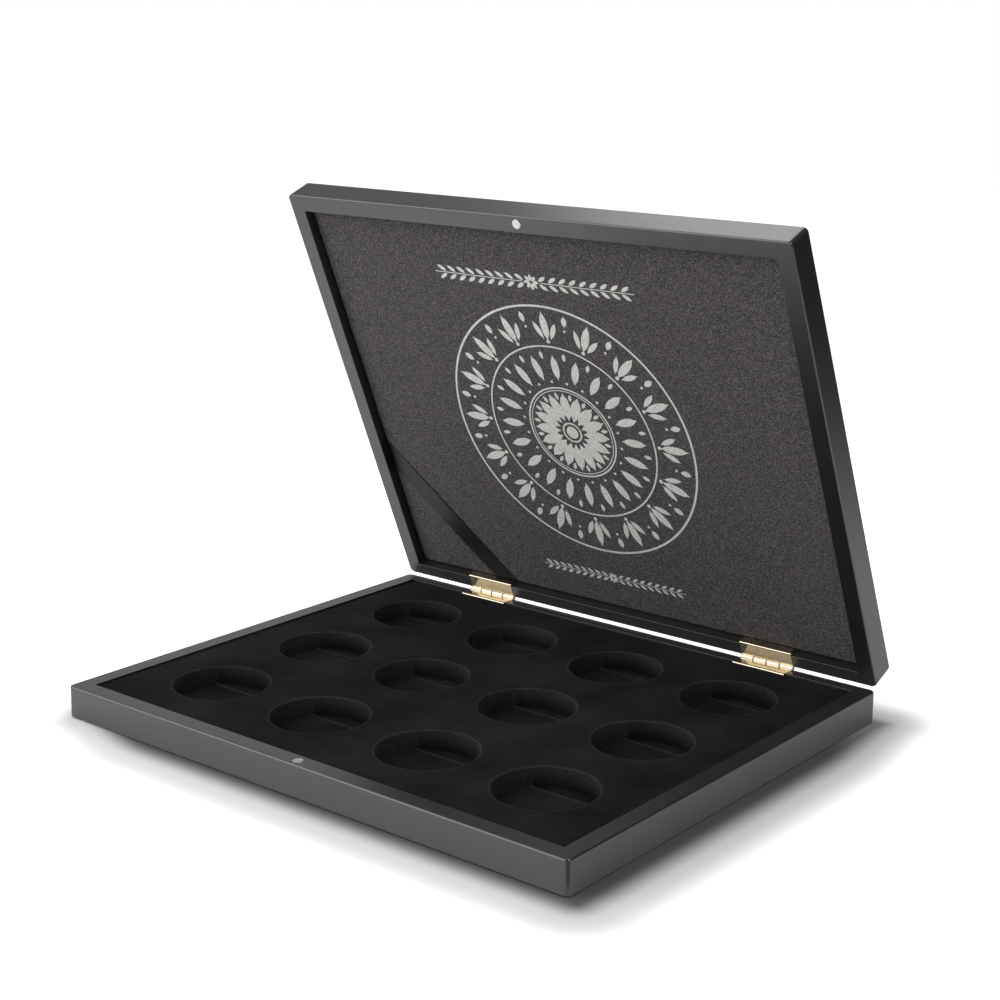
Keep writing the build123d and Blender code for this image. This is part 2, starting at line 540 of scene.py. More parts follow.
def pocket_tile():
    """One pocket in its rectangle of the top sheet, centred on the origin at the sheet's height."""
    bpy.ops.mesh.primitive_plane_add(size=1)
    piece = newest("tray_tile")
    pick_all(piece)
    stretch((pitch_x, pitch_y, 1))
    bpy.ops.mesh.subdivide(number_cuts=pocket_sides // 4 - 1)
    put_down()
    half_x, half_y = pitch_x / 2 - tiny, pitch_y / 2 - tiny
    pick(piece, "VERT", lambda vert: abs(vert.co.x) < half_x and abs(vert.co.y) < half_y)
    bpy.ops.mesh.delete(type="VERT")
    mouth = pocket_radius + pocket_lip + lip_highlight_band
    bpy.ops.mesh.primitive_circle_add(vertices=pocket_sides, radius=mouth, fill_type="NOTHING")
    bpy.ops.mesh.select_all(action="SELECT")
    bpy.ops.mesh.bridge_edge_loops()
    put_down()
    pick(piece, "EDGE", lambda edge: all(end.co.xy.length < mouth + tiny for end in edge.verts))
    bpy.ops.mesh.edge_face_add()
    wall_height = tray_top - pocket_floor - pocket_lip - floor_round
    lip = arc_steps(pocket_lip, 5, inside=False)
    foot = arc_steps(floor_round, 4, inside=True)
    for inward, up in [(lip_highlight_band, 0)] + lip + [(pocket_draft, -wall_height)] + foot:
        bpy.ops.mesh.inset(thickness=inward, depth=up)
    put_down()
    dip_floor(piece)
    note_thin_pile_and_painted_light(piece)
    return move(piece, (0, 0, tray_top))


def dip_floor(piece):
    """Split the floor at the ridge and tilt the part behind it down."""
    floor = pocket_floor - tray_top
    low = lambda end: end.co.z < floor + floor_round + tiny
    for place in (ridge_y - ridge_highlight_band / 2, ridge_y, ridge_y + ridge_highlight_band):
        pick(piece, "FACE", lambda face: all(low(end) for end in face.verts))
        bpy.ops.mesh.bisect(plane_co=(0, place, 0), plane_no=(0, 1, 0))
        put_down()
    pick(piece, "VERT", lambda end: end.co.y > ridge_y + tiny and low(end))
    slope = math.atan2(pocket_floor - pocket_low, pocket_radius - ridge_y)
    bpy.ops.transform.rotate(value=slope, orient_axis="X", center_override=(0, ridge_y, floor))
    put_down()
    ridge = lambda edge: along(edge, 1, ridge_y) and along(edge, 2, floor)
    round_edges(piece, ridge, ridge_round, 3)


def note_thin_pile_and_painted_light(piece):
    """Paint highlights on lip and ridge and shade behind it; walls greyer from thin pile and light.
    """
    floor = pocket_floor - tray_top
    thin_and_lit = piece.data.attributes.new("thin_pile_and_painted_light", "FLOAT", "POINT")
    for vert in piece.data.vertices:
        amount = 0.0
        if vert.co.z > -pocket_lip - tiny:
            amount = float(vert.co.xy.length < pocket_radius + pocket_lip + tiny)
        elif vert.co.z > floor + floor_round - tiny:
            amount = wall_thin_and_lit
        elif abs(vert.co.y - ridge_y) < ridge_round + tiny:
            amount = 1.0
        elif vert.co.y > ridge_y:
            amount = dip_painted_shade
        thin_and_lit.data[vert.index].value = amount


def twin(piece, offset):
    """A copy with its own mesh, moved."""
    alone(piece)
    bpy.ops.object.duplicate()
    return move(bpy.context.object, offset)


def join(pieces, name):
    """Join pieces into one mesh and merge the points where they meet."""
    bpy.ops.object.select_all(action="DESELECT")
    for piece in pieces:
        piece.select_set(True)
    bpy.context.view_layer.objects.active = pieces[0]
    bpy.ops.object.join()
    whole = newest(name)
    pick_all(whole)
    bpy.ops.mesh.remove_doubles(threshold=merge_distance)
    put_down()
    return whole


def pocket_places():
    """Middles of the pockets, row by row."""
    for row in range(rows):
        for column in range(columns):
            yield ((column - (columns - 1) / 2) * pitch_x, (row - (rows - 1) / 2) * pitch_y, 0)


tile = pocket_tile()
tray = join([twin(tile, place) for place in pocket_places()], "tray_flocked")
bpy.data.objects.remove(tile)
pick(tray, "EDGE", lambda edge: edge.is_boundary)
bpy.ops.mesh.extrude_edges_move()
stretch((2 * tray_half_width / (columns * pitch_x), 2 * tray_half_depth / (rows * pitch_y), 1))
shift((0, tray_middle, 0))
bpy.ops.mesh.extrude_edges_move(TRANSFORM_OT_translate={"value": (0, 0, -tray_fold)})
put_down()


def on_tray_side(end):
    """Whether a point lies on the tray's outer side."""
    return (
        abs(end.co.x) > tray_half_width - tiny
        or abs(end.co.y - tray_middle) > tray_half_depth - tiny
    )


round_edges(
    tray,
    lambda edge: along(edge, 2, tray_top) and all(on_tray_side(end) for end in edge.verts),
    tray_edge,
    4,
)


def cut_leg_notch(middle):
    """Cut a notch in the tray's hinge side, where a leaf's leg stands."""
    half = hinge_width / 2 + tray_clearance
    front = back_wall - leaf_thickness - tray_clearance
    for place, normal in (
        ((middle - half, 0, 0), (1, 0, 0)),
        ((middle + half, 0, 0), (1, 0, 0)),
        ((0, front, 0), (0, 1, 0)),
    ):
        pick(tray, "FACE", lambda face: face.calc_center_median().y > rows / 2 * pitch_y + tiny)
        bpy.ops.mesh.bisect(plane_co=place, plane_no=normal)
        put_down()

    def in_notch(face):
        spot = face.calc_center_median()
        return abs(spot.x - middle) < half and spot.y > front

    pick(tray, "FACE", in_notch)
    bpy.ops.mesh.delete(type="FACE")
    put_down()


for middle in hinge_middles.values():
    cut_leg_notch(middle)
pick_all(tray)
bpy.ops.mesh.normals_make_consistent(inside=False)
put_down()
apply_modifier(tray, "SOLIDIFY", thickness=tray_sheet, offset=-1, use_even_offset=True)
smooth(tray, 40)
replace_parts(tray, "pocket_tray")
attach(tray, "base")
flock_dark, flock_light = (0.008, 0.0075, 0.0083), (0.040, 0.0375, 0.0412)
tray.data.materials.append(
    pile_material("black_flock", flock_dark, flock_light, sheen=0.08, fibre_scale=2200)
)

# ---------------------------------------------------------------- magnets
# A nickel-plated disc magnet is pressed and glued into each front rim, flush with the lacquer.
# The two meet when the case is shut and hold it.
magnet_gap = 0.02 * mm
magnet_edge = 0.3 * mm
magnet_crown = ((0.7 * mm, 0.05 * mm), (0.8 * mm, 0.03 * mm))


def metal_material(name, color, roughness, streak):
    """Plated metal: fine scratches in its gloss and a faintly uneven tone."""
    made, tree, shader, place = material(name, color, roughness, Metallic=1.0)
    tone = add_mottle(tree, place, scale=180)
    paint(tree, shader, tone, dark=[0.86 * part for part in color], light=color)
    low, high = 0.7 * roughness, 1.4 * roughness
    gloss = add_mottle(tree, place, streak, low, high, detail=3)
    tree.links.new(gloss, shader.inputs["Roughness"])
    bump(tree, shader, gloss, strength=0.1, distance=0.05 * mm)
    return made


nickel = metal_material("bright_nickel", (0.74, 0.72, 0.68), roughness=0.26, streak=1500)


def disc_magnet(prefix, finish=None):
    """One disc with a rounded rim and a slightly crowned face, built under the base's rim."""
    radius = magnet_radius - magnet_gap
    piece = round_rod(f"{prefix}_magnet_disc", radius, rim_z - magnet_depth, rim_z)
    round_edges(piece, lambda edge: along(edge, 2, rim_z), magnet_edge, 4)
    pick(piece, "FACE", lambda face: along(face, 2, rim_z))
    for inward, up in magnet_crown:
        bpy.ops.mesh.inset(thickness=inward, depth=up)
    put_down()
    move(piece, (0, magnet_y, 0))
    if finish:
        finish(piece)
    smooth(piece)
    piece.data.materials.append(nickel)
    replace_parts(piece, f"{prefix}_magnet")
    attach(piece, prefix)


disc_magnet("base")

# ---------------------------------------------------------------- hinges
# Each leaf is pressed from gilt sheet: a plate in its mortise, a leg bent down inside the rail,
# and two knuckles rolled round the pin. The lid's knuckles stand outside the base's.
leg_height = 4.4 * mm
bend_radius = 0.8 * mm
knuckle_gap = 0.7 * mm
knuckle_roll = math.radians(290)
leaf_edge = 0.12 * mm
leaf_corner = math.radians(50)
pin_radius = 0.6 * mm
pin_clearance = 0.05 * mm
pin_edge = 0.25 * mm
base_knuckles, lid_knuckles = (1, 2), (0, 3)
gilt = metal_material("pale_gilt", (0.70, 0.62, 0.48), roughness=0.08, streak=900)
# the pin is steel, coloured far darker than bare steel as painted shade in the gaps between the
# knuckles
pin_steel_painted_dark = metal_material("pin_steel_painted_dark", (0.14, 0.12, 0.10), roughness=0.4, streak=900)


def knuckle_bounds():
    """Start and end of the four knuckles along the pin, from the hinge's middle."""
    length = (hinge_width - 3 * knuckle_gap) / 4
    starts = [index * (length + knuckle_gap) - hinge_width / 2 for index in range(4)]
    return [(start, start + length) for start in starts]


def hinge_leaf(name, middle, own, body, finish=None):
    """Fold and roll one leaf as a skin with its own knuckles, then thicken it to sheet."""
    plate_front = back_wall - leaf_thickness + bend_radius
    plate_back = pin_y - barrel_radius - knuckle_clearance
    root_y = pin_y - math.sqrt(barrel_radius**2 - (rim_z - pin_z) ** 2)
    spans = knuckle_bounds()
    bpy.ops.mesh.primitive_plane_add(size=1)
    piece = newest(name)
    pick_all(piece)
    stretch((hinge_width, plate_back - plate_front, 1))
    shift((0, (plate_back + plate_front) / 2, rim_z))
    for place in [end for span in spans for end in span][1:-1]:
        bpy.ops.mesh.select_all(action="SELECT")
        bpy.ops.mesh.bisect(plane_co=(place, 0, 0), plane_no=(1, 0, 0))
    put_down()
    pick(piece, "EDGE", lambda edge: along(edge, 1, plate_front))
    bend = (0, plate_front, rim_z - bend_radius)
    bpy.ops.mesh.spin(steps=8, angle=-math.pi / 2, center=bend, axis=(1, 0, 0))
    bpy.ops.mesh.extrude_edges_move(
        TRANSFORM_OT_translate={"value": (0, 0, bend_radius - leg_height)}
    )
    put_down()

    def on_own_knuckle(edge):
        place = (edge.verts[0].co.x + edge.verts[1].co.x) / 2
        inside = any(spans[index][0] < place < spans[index][1] for index in own)
        return inside and along(edge, 1, plate_back)

    pick(piece, "EDGE", on_own_knuckle)
    bpy.ops.mesh.extrude_edges_move(TRANSFORM_OT_translate={"value": (0, root_y - plate_back, 0)})
    bpy.ops.mesh.spin(steps=40, angle=knuckle_roll, center=(0, pin_y, pin_z), axis=(1, 0, 0))
    put_down()
    pick_all(piece)
    bpy.ops.mesh.normals_make_consistent(inside=False)
    shift((middle, 0, 0))
    put_down()
    thickness = barrel_radius - pin_radius - pin_clearance
    apply_modifier(piece, "SOLIDIFY", thickness=thickness, offset=-1, use_even_offset=True)
    corners = {"limit_method": "ANGLE", "angle_limit": leaf_corner}
    apply_modifier(piece, "BEVEL", width=leaf_edge, segments=2, **corners)
    if finish:
        finish(piece)
    smooth(piece, 40)
    piece.data.materials.append(gilt)
    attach(piece, body)
    return piece


def hinge_pin(name, middle):
    """Pin with rounded ends, turned to lie along the knuckles."""
    half = hinge_width / 2
    piece = round_rod(name, pin_radius, -half, half, sides=24)
    round_edges(piece, lambda edge: along(edge, 2, -half) or along(edge, 2, half), pin_edge, 3)
    pick_all(piece)
    bpy.ops.transform.rotate(value=math.pi / 2, orient_axis="Y", center_override=(0, 0, 0))
    shift((middle, pin_y, pin_z))
    put_down()
    smooth(piece)
    piece.data.materials.append(pin_steel_painted_dark)
    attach(piece, "base")
    return piece


for side, middle in hinge_middles.items():
    base_leaf = hinge_leaf(f"{side}_base_leaf_gilt", middle, base_knuckles, "base")
    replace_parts(base_leaf, f"hinge_{side}_base_leaf")
    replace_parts(hinge_pin(f"{side}_pin_rod", middle), f"hinge_{side}_pin")

# ---------------------------------------------------------------- lid board
# The same board as the base's, with its outer edge rounded further.
# The lid is made face to face with the base, then stands open on the hinge pins.
lid_angle = math.radians(67.2)
lid_rail_height = 11.8 * mm
lid_floor = rim_z - lid_rail_height
lid_back = lid_floor - board_thickness
lid_back_edge = 1.2 * mm


def onto_lid(piece):
    """Turn a piece made on the base over onto the lid, then swing it open."""
    pick_all(piece)
    bpy.ops.transform.mirror(
        orient_type="GLOBAL", constraint_axis=(False, False, True), center_override=(0, 0, pin_z)
    )
    bpy.ops.mesh.flip_normals()
    bpy.ops.transform.rotate(value=lid_angle, orient_axis="X", center_override=(0, pin_y, pin_z))
    put_down()
    return piece


lid_board = full_plate("lid_board_panel", lid_back, lid_floor)
round_edges(lid_board, lambda edge: along(edge, 2, lid_back), lid_back_edge, 6)
onto_lid(lid_board)
smooth(lid_board)
lid_board.data.materials.append(lacquer)
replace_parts(lid_board, "lid_board")
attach(lid_board, "lid")

# ---------------------------------------------------------------- lid rails, magnet and leaves
# The lid's frame is the base's turned over, with lower rails.
# Its magnet and its two hinge leaves meet the base's.
frame_of_rails("lid", lid_rail_height, onto_lid)
disc_magnet("lid", onto_lid)
for side, middle in hinge_middles.items():
    lid_leaf = hinge_leaf(f"{side}_lid_leaf_gilt", middle, lid_knuckles, "lid", onto_lid)
    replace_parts(lid_leaf, f"hinge_{side}_lid_leaf")

# ---------------------------------------------------------------- lid lining
# A foam pad is glued on stiff card, and a glittery grey cloth is drawn over both and turned down.
# The covered panel is pressed into the lid, so only the cloth shows.
lining_depth = 4.8 * mm
lining_clearance = 0.2 * mm
fabric_thickness = 0.8 * mm
fabric_edge = 1.2 * mm
pad_edge = 0.6 * mm
card_thickness = 2.5 * mm
lining_face = rim_z - lining_depth
lining_crown = ((2 * mm, 0.12 * mm), (5 * mm, 0.06 * mm), (8 * mm, 0.02 * mm))
crown_height = sum(up for inward, up in lining_crown)


def lining_slab(name, inset, bottom, top, edge_radius):
    """Soft slab inside the lid's rails: its border falls away towards them."""
    half_width = side_wall - inset
    front, back = front_wall + inset, back_wall - inset
    border = top - crown_height
    piece = block(name, (-half_width, front, bottom), (half_width, back, border))
    round_edges(piece, upright, 2 * edge_radius, 5)
    round_edges(piece, lambda edge: along(edge, 2, border), edge_radius, 6)
    pick(piece, "FACE", lambda face: along(face, 2, border))
    middle = (0, (front + back) / 2, 0)
    half_depth = (back - front) / 2
    for inward, up in lining_crown:
        bpy.ops.mesh.extrude_region_move(TRANSFORM_OT_translate={"value": (0, 0, up)})
        stretch((1 - inward / half_width, 1 - inward / half_depth, 1), about=middle)
    put_down()
    return piece


def foam_material():
    """Open-cell foam: pale, matt and finely pitted."""
    made, tree, shader, place = material("grey_foam", (0.42, 0.42, 0.43), 0.95)
    cells = add_mottle(tree, place, scale=2200)
    paint(tree, shader, cells, dark=(0.34, 0.34, 0.35), light=(0.46, 0.46, 0.47))
    bump(tree, shader, cells, strength=0.6, distance=0.3 * mm)
    return made


def card_material():
    """Grey millboard with short fibres."""
    made, tree, shader, place = material("grey_millboard", (0.28, 0.26, 0.24), 0.9)
    fibres = add_mottle(tree, place, scale=700, detail=5)
    paint(tree, shader, fibres, dark=(0.22, 0.21, 0.19), light=(0.32, 0.30, 0.28))
    bump(tree, shader, fibres, strength=0.3, distance=0.1 * mm)
    return made


def glitter_cloth_material():
    """Napped grey cloth with light, dark and faintly coloured specks."""
    entries = {"Specular_IOR_Level": 0.3, "Sheen_Weight": 0.1}
    made, tree, shader, place = material("glitter_cloth", (0.075, 0.070, 0.068), 0.85, **entries)
    specks = add_speckle(tree, place, scale=2300, contrast=2.2)
    color = tint(tree, specks.outputs[0], (0.043, 0.0405, 0.0395), (0.195, 0.183, 0.178))
    glint = tint(tree, 0.12, color, specks.outputs["Color"], blend="SOFT_LIGHT")
    tree.links.new(glint, shader.inputs["Base Color"])
    nap = add_mottle(tree, place, scale=1500)
    bump(tree, shader, nap, strength=0.5, distance=0.2 * mm)
    return made


lining_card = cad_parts["lining_card"]
lining_card.material_slots[0].material = card_material()

wrap = lining_clearance + fabric_thickness
card_top = lid_floor + card_thickness
pad = lining_slab("lining_foam_pad", wrap, card_top, lining_face - fabric_thickness, pad_edge)
onto_lid(pad)
smooth(pad, 50)
pad.data.materials.append(foam_material())
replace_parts(pad, "lining_padding")
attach(pad, "lid")

cloth = lining_slab("lining_cloth", lining_clearance, lid_floor, lining_face, fabric_edge)
pick(cloth, "FACE", lambda face: along(face, 2, lid_floor))
bpy.ops.mesh.delete(type="FACE")
put_down()
apply_modifier(cloth, "SOLIDIFY", thickness=fabric_thickness, offset=-1)
onto_lid(cloth)
smooth(cloth, 50)
cloth.data.materials.append(glitter_cloth_material())
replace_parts(cloth, "lining_fabric")
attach(cloth, "lid")

# ---------------------------------------------------------------- silver print
# A silver rosette and two leaf sprays are foil-printed on the cloth.
# The foil is thinner than a hair, and the cloth's nap shows through it.
print_height = lining_face + 0.02 * mm
foil_thickness = 0.03 * mm
tip_stretch = 1.25
blade_lean = 5
leaf_lean = 58


def foil_material():
    """Silver foil on a napped cloth: bright, with the cloth's dark grain in it."""
    made, tree, shader, place = material("silver_foil", (0.8, 0.79, 0.76), 0.45)
    grain = add_speckle(tree, place, scale=2300, contrast=0.7).outputs[0]
    paint(tree, shader, grain, dark=(0.58, 0.57, 0.55), light=(1.0, 0.99, 0.96))
    nap = add_mottle(tree, place, scale=1700)
    bump(tree, shader, nap, strength=0.3, distance=0.1 * mm)
    return made


foil = foil_material()


def flat_disc(radius, sides):
    """Flat disc about the origin."""
    bpy.ops.mesh.primitive_circle_add(vertices=sides, radius=radius, fill_type="NGON")
    return newest("print_disc")


def flat_ring(inner, outer, sides=160):
    """Flat ring about the origin."""
    bpy.ops.mesh.primitive_circle_add(vertices=sides, radius=inner, fill_type="NOTHING")
    piece = newest("print_ring")
    pick_all(piece)
    bpy.ops.mesh.extrude_edges_move()
    stretch((outer / inner, outer / inner, 1))
    put_down()
    return piece


def flat_leaf(width, length):
    """Flat leaf about the origin, drawn out to a point at both ends."""
    piece = flat_disc(0.5, 20)
    pick_all(piece)
    stretch((width, length / tip_stretch, 1))
    put_down()
    pick(piece, "VERT", lambda end: abs(end.co.x) < 0.01 * width)
    stretch((1, tip_stretch, 1))
    put_down()
    return piece


def turned(piece, degrees):
    """Turn a print part about the origin."""
    turn = math.radians(degrees)
    pick_all(piece)
    bpy.ops.transform.rotate(value=turn, orient_axis="Z", center_override=(0, 0, 0))
    put_down()
    return piece


def around(piece, count, start=0.0):
    """Repeat a print part in a circle about the origin."""
    turned(piece, start)
    pick_all(piece)
    sweep = 2 * math.pi * (count - 1) / count
    bpy.ops.mesh.spin(
        steps=count - 1, dupli=True, angle=sweep, center=(0, 0, 0), axis=(0, 0, 1)
    )
    put_down()
    return piece


def print_on_cloth(name, parts, x, y):
    """Join flat parts, lay them on the cloth and give them the foil's thickness."""
    piece = move(join(parts, name), (x, y, print_height))
    pick_all(piece)
    bpy.ops.mesh.normals_make_consistent(inside=False)
    put_down()
    pick(piece, "FACE", lambda face: face.normal.z < 0)
    bpy.ops.mesh.flip_normals()
    put_down()
    apply_modifier(piece, "SOLIDIFY", thickness=foil_thickness, offset=1)
    onto_lid(piece)
    piece.data.materials.append(foil)
    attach(piece, "lid")


def rosette_parts():
    """Three bands about a sixteen-petal flower, in millimetres and degrees."""
    parts = []
    for inner, outer in ((73.1, 74.3), (50.2, 51.1), (26.0, 26.9), (24.6, 25.1)):
        parts.append(flat_ring(inner * mm, outer * mm))
    for degrees, out, width, length in (
        (0, 62.5, 4.6, 17.0),
        (4.4, 60.0, 3.0, 11.0),
        (-4.4, 60.0, 3.0, 11.0),
    ):
        blade = turned(flat_leaf(width * mm, length * mm), blade_lean * degrees)
        parts.append(around(move(blade, (0, out * mm, 0)), 16, degrees))
    for count, start, out, width, length in (
        (16, 11.25, 67.5, 3.2, 6.4),
        (20, 0, 38.4, 4.6, 15.0),
        (20, 9, 45.6, 2.2, 5.0),
        (16, 0, 15.3, 6.0, 16.6),
        (16, 11.25, 21.6, 2.0, 4.6),
    ):
        leaf = move(flat_leaf(width * mm, length * mm), (0, out * mm, 0))
        parts.append(around(leaf, count, start))
    for count, start, out, radius, sides in (
        (16, 0, 53.6, 1.1, 16),
        (16, 11.25, 62.0, 0.8, 12),
        (20, 9, 30.0, 0.8, 12),
    ):
        dot = move(flat_disc(radius * mm, sides), (0, out * mm, 0))
        parts.append(around(dot, count, start))
    return parts + [flat_ring(5.0 * mm, 6.0 * mm, 48), flat_disc(3.6 * mm, 32)]


def spray_parts(half_length, size):
    """Two leafy stems that grow outwards from a small flower; size scales its leaves."""
    stem_start, first_leaf, spacing = 5 * size, 6.2 * size, 5.2 * size
    stem_half, leaf_rise = 0.2 * size, 2.0 * size
    parts = [around(move(flat_leaf(1.7 * size, 3.4 * size), (0, 2.3 * size, 0)), 8)]
    count = round((half_length - stem_start) / spacing)
    step = (half_length - stem_start) / count
    for side in (1, -1):
        for index in range(count):
            foot = side * (first_leaf + step * index)
            for up in (1, -1):
                blade = turned(flat_leaf(1.8 * size, 5.4 * size), side * up * leaf_lean)
                parts.append(move(blade, (foot, up * leaf_rise, 0)))
        left, right = sorted((side * stem_start, side * half_length))
        stem = block("stem", (left, -stem_half, -tiny), (right, stem_half, tiny))
        pick(stem, "FACE", lambda face: face.normal.z < 0.5)
        bpy.ops.mesh.delete(type="FACE")
        put_down()
        parts.append(move(stem, (0, 0, -tiny)))
    return parts


print_on_cloth("print_rosette", rosette_parts(), -3.9 * mm, 3.8 * mm)
print_on_cloth("print_front_spray", spray_parts(61.5 * mm, 1.15 * mm), -4.8 * mm, -83.2 * mm)
print_on_cloth("print_hinge_spray", spray_parts(46 * mm, 0.85 * mm), -2.3 * mm, 95.3 * mm)

# ---------------------------------------------------------------- lid ribbon
# A black satin ribbon lies across the lining's corner by the hinges and holds a leaflet.
# Its ends are tucked in between the lining and the rails.
ribbon_width = 12 * mm
ribbon_thickness = 0.3 * mm
ribbon_back_reach = 63.5 * mm
ribbon_side_reach = 75.2 * mm
ribbon_blank = 130 * mm
ribbon_bow = 0.5 * mm
ribbon_tuck = 0.4 * mm
lining_roll = 1.5 * mm
roll_drop = 1.4 * mm


def lining_drop(x, y):
    """How far the lining's face lies below its middle at a place."""
    room = min(side_wall - abs(x), back_wall - y)
    if room > lining_roll:
        return 0
    return crown_height + roll_drop * (1 - room / lining_roll) ** 2


def split(tree, vector):
    """The x, y and z of a place."""
    node = tree.nodes.new("ShaderNodeSeparateXYZ")
    tree.links.new(vector, node.inputs[0])
    return node.outputs


def change(tree, value, near, far, low, high, kind="LINEAR"):
    """A value that goes from low to high while another goes from near to far."""
    node = tree.nodes.new("ShaderNodeMapRange")
    node.interpolation_type = kind
    for entry, bound in zip(("From Min", "From Max", "To Min", "To Max"), (near, far, low, high)):
        node.inputs[entry].default_value = bound
    tree.links.new(value, node.inputs["Value"])
    return node.outputs[0]


def satin_material():
    """Woven satin: fine ribs along it, a soft highlight, and dull where it is tucked in low."""
    entries = {"Specular_IOR_Level": 0.42, "Sheen_Weight": 0.04, "Sheen_Roughness": 0.3}
    entries["Sheen_Tint"] = (0.85, 0.85, 1.0, 1)
    made, tree, shader, place = material("black_satin", (0.010, 0.010, 0.014), 0.36, **entries)
    height = split(tree, place.outputs["Object"])["Z"]
    gloss = change(tree, height, near=24 * mm, far=50 * mm, low=0.95, high=0.4)
    tree.links.new(gloss, shader.inputs["Roughness"])
    across = tree.nodes.new("ShaderNodeMapping")
    across.inputs["Rotation"].default_value = (0, 0, math.radians(45))
    across.inputs["Scale"].default_value = (300, 6000, 300)
    threads = tree.nodes.new("ShaderNodeTexNoise")
    threads.inputs["Scale"].default_value = 1
    wire(tree, place, "Object", across, "Vector")
    wire(tree, across, "Vector", threads, "Vector")
    ribs = threads.outputs[0]
    paint(tree, shader, ribs, dark=(0.006, 0.006, 0.008), light=(0.014, 0.013, 0.018))
    bump(tree, shader, ribs, strength=0.25, distance=0.05 * mm)
    return made


bpy.ops.mesh.primitive_grid_add(x_subdivisions=120, y_subdivisions=8, size=1)
ribbon = newest("ribbon_satin")
pick_all(ribbon)
stretch((ribbon_blank, ribbon_width, 1))
ribbon_slope = math.atan2(ribbon_side_reach, ribbon_back_reach)
bpy.ops.transform.rotate(value=-ribbon_slope, orient_axis="Z", center_override=(0, 0, 0))
shift((ribbon_back_reach / 2 - side_wall, back_wall - ribbon_side_reach / 2, lining_face))
put_down()
for place, normal in (
    ((ribbon_tuck - side_wall, 0, 0), (-1, 0, 0)),
    ((0, back_wall - ribbon_tuck, 0), (0, 1, 0)),
):
    pick_all(ribbon)
    bpy.ops.mesh.bisect(plane_co=place, plane_no=normal, clear_outer=True)
    put_down()
for vert in ribbon.data.vertices:
    from_side = (vert.co.x + side_wall) / ribbon_back_reach
    from_front = 1 - (back_wall - vert.co.y) / ribbon_side_reach
    along_band = min(max((from_side + from_front) / 2, 0), 1)
    bow = ribbon_bow * math.sin(math.pi * along_band)
    vert.co.z += bow - lining_drop(vert.co.x, vert.co.y)
apply_modifier(ribbon, "SOLIDIFY", thickness=ribbon_thickness, offset=1, use_even_offset=True)
onto_lid(ribbon)
smooth(ribbon, 50)
ribbon.data.materials.append(satin_material())
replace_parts(ribbon, "lid_ribbon")
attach(ribbon, "lid")

# ---------------------------------------------------------------- studio
# The case stands on a white table that ends in white ground, under six soft lamps.
# The ground is white to the camera. Reflections see less of its light, and less further out.
table_radius = 3
table_drop = 0.2 * mm
shade_shift = 4 * mm
# the paper's colour near the case, and far out, where it is painted dark as if unlit
paper_near, painted_dark_far_paper = (0.9, 0.9, 0.9), (0.05, 0.05, 0.05)
paper_fade = (150 * mm, 900 * mm)
shade_color = (0, 0, 0)
# reach and depth of the painted shade beside the case and past its near right corner
contact_shade_reach, contact_shade_dark = 16 * mm, 0.85
corner_reach, corner_dark = 3 * mm, 0.8
lit_left, lit_back = 15 * mm, 6 * mm


def outside_case(tree, vector):
    """How far a place on the table lies outside the case: along x and y, and in all."""
    for step, other in (
        ("SUBTRACT", (shade_shift, 0, 0)),
        ("ABSOLUTE", (0, 0, 0)),
        ("SUBTRACT", (case_width / 2, case_depth / 2, 1)),
        ("MAXIMUM", (0, 0, 0)),
        ("LENGTH", (0, 0, 0)),
    ):
        node = tree.nodes.new("ShaderNodeVectorMath")
        node.operation = step
        node.inputs[1].default_value = other
        tree.links.new(vector, node.inputs[0])
        if step != "LENGTH":
            vector = node.outputs["Vector"]
    return split(tree, vector), node.outputs["Value"]


def table_material():
    """White paper with painted shade beside the case and painted dark further out; shines as lit
    ground.
    """
    entries = {"Specular_IOR_Level": 0.0, "Emission_Color": (1, 1, 1, 1)}
    made, tree, shader, place = material("white_table_top", paper_near, 0.9, **entries)
    step = lambda kind, first, second: add_step(tree, kind, first, second)
    fade = lambda value, *bounds: change(tree, value, *bounds, kind="SMOOTHSTEP")
    rays = tree.nodes.new("ShaderNodeLightPath")
    seen, mirror = rays.outputs["Is Camera Ray"], rays.outputs["Is Glossy Ray"]
    x, y = split(tree, place.outputs["Object"])[:2]
    past, away = outside_case(tree, place.outputs["Object"])

    # the ground is lit closer to the case at its left and its back
    left = fade(x, -160 * mm, -90 * mm, lit_left, 0)
    back = fade(y, 60 * mm, 120 * mm, 0, lit_back)
    gap = step("ADD", away, step("ADD", left, back))

    # painted contact shade beside the case, for the camera; painted shade past the near right
    # corner, seen only in reflections
    contact_shade = step("MULTIPLY", seen, fade(gap, 0, contact_shade_reach, contact_shade_dark, 0))
    near = fade(y, -100 * mm, 0, corner_dark, 0)
    near_right = step("MULTIPLY", fade(x, 0, 100 * mm, 0, 1), near)
    past_corner = fade(step("MINIMUM", past[0], past[1]), 0, corner_reach, 0, 1)
    corner = step("MULTIPLY", mirror, step("MULTIPLY", near_right, past_corner))
    # painted falloff of light: the paper darkens further out, as if only the table near the case
    # were lit
    paper = tint(tree, fade(gap, *paper_fade, 0, 1), paper_near, painted_dark_far_paper)
    paint(tree, shader, step("ADD", contact_shade, corner), paper, shade_color)

    # the paper's own light rises in two steps with the distance from the case
    close = fade(gap, 15 * mm, 44 * mm, 0, 0.75)
    wide = fade(gap, 50 * mm, 300 * mm, 0, 0.35)
    ground = step("ADD", close, wide)
    mirrored = step("MULTIPLY", mirror, fade(gap, *paper_fade, 0.3, 0))
    glow = step("MULTIPLY", step("ADD", seen, mirrored), ground)
    tree.links.new(glow, shader.inputs["Emission Strength"])
    return made


bpy.ops.mesh.primitive_circle_add(vertices=96, radius=table_radius, fill_type="NGON")
table = move(newest("white_table"), (0, 0, -table_drop))
table.data.materials.append(table_material())

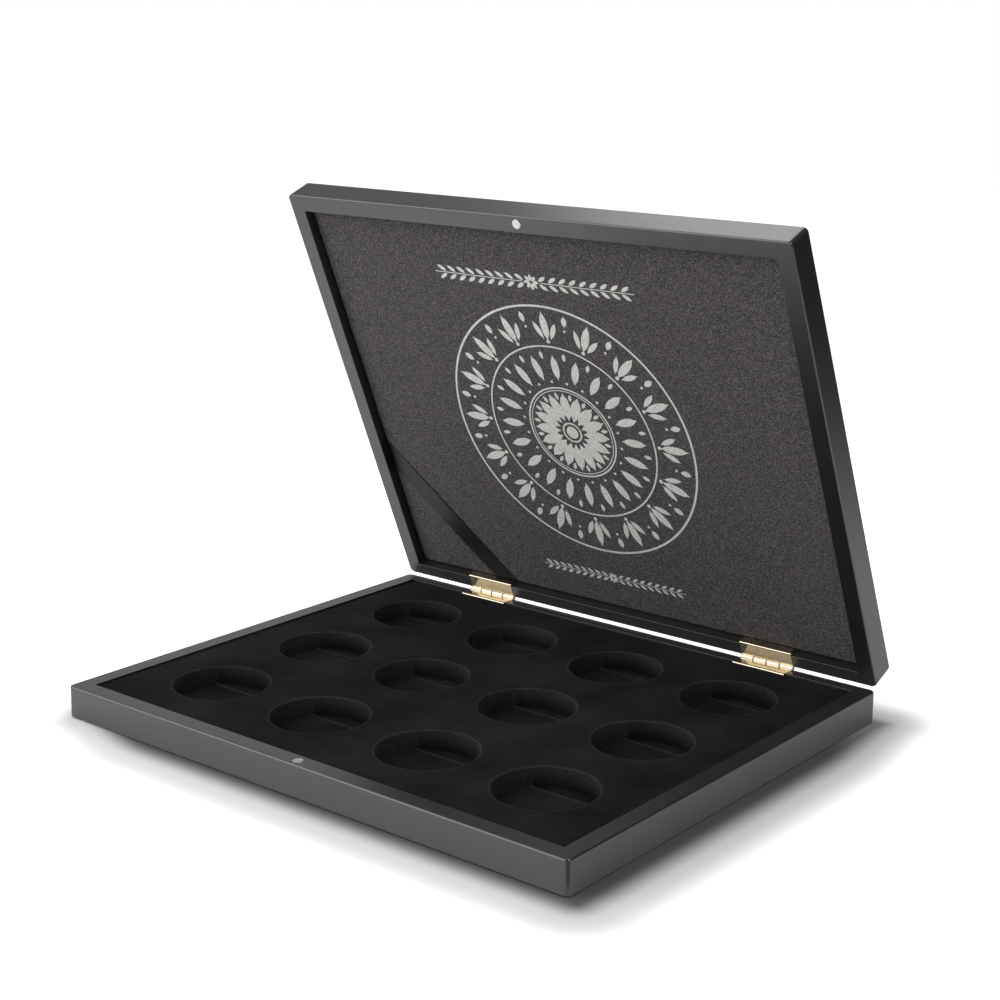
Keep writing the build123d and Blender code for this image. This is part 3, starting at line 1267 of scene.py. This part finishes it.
world = bpy.data.worlds.new("studio")
bpy.context.scene.world = world
world.use_nodes = True
air = world.node_tree
rays = air.nodes.new("ShaderNodeLightPath")
room = change(air, rays.outputs["Is Glossy Ray"], near=0, far=1, low=0.02, high=0.05)
sky = air.nodes["Background"]
sky.inputs["Color"].default_value = (1, 1, 1, 1)
air.links.new(add_step(air, "MAXIMUM", rays.outputs["Is Camera Ray"], room), sky.inputs["Strength"])


def soft_lamp(name, place, aim, size, power):
    """Square soft lamp turned towards a point, itself unseen, in metres and watts."""
    lamp_data = bpy.data.lights.new(name, "AREA")
    lamp_data.size = size
    lamp_data.energy = power
    lamp = bpy.data.objects.new(name, lamp_data)
    bpy.context.scene.collection.objects.link(lamp)
    lamp.location = place
    lamp.rotation_euler = (Vector(aim) - Vector(place)).to_track_quat("-Z", "Y").to_euler()
    lamp.visible_camera = False


case_middle = (0, 0, 0.1)
soft_lamp("top_box", (-0.33, 0.6, 1.1), (0, 0.1, 0), size=0.6, power=2.9)
soft_lamp("back_left_box", (-1.5, 1.2, 1.1), case_middle, size=1.5, power=2.2)
soft_lamp("back_low_box", (-1.6, 1.3, 0.55), case_middle, size=0.7, power=0.45)
soft_lamp("front_left_box", (-0.9, -0.5, 1.1), case_middle, size=1.6, power=6.0)
soft_lamp("front_low_box", (-0.6, -1.05, 0.5), case_middle, size=1.6, power=15.6)
soft_lamp("right_box", (1.1, -0.3, 1.3), case_middle, size=1.0, power=12.0)

camera_place = Vector((566.57, -667.75, 336.74)) * mm
camera_aim = Vector((47.21, -2.0, 173.71)) * mm
camera_roll = Quaternion((0, 0, 1), math.radians(0.671))
camera_data = bpy.data.cameras.new("camera")
camera_data.sensor_width = 36
camera_data.lens = 68.565
camera_data.shift_x = -0.0513
camera_data.shift_y = -0.12
camera = bpy.data.objects.new("camera", camera_data)
bpy.context.scene.collection.objects.link(camera)
camera.location = camera_place
camera.rotation_mode = "QUATERNION"
camera.rotation_quaternion = (camera_aim - camera_place).to_track_quat("-Z", "Y") @ camera_roll
bpy.context.scene.camera = camera
bpy.context.scene.view_settings.view_transform = "Standard"

bpy.context.view_layer.update()
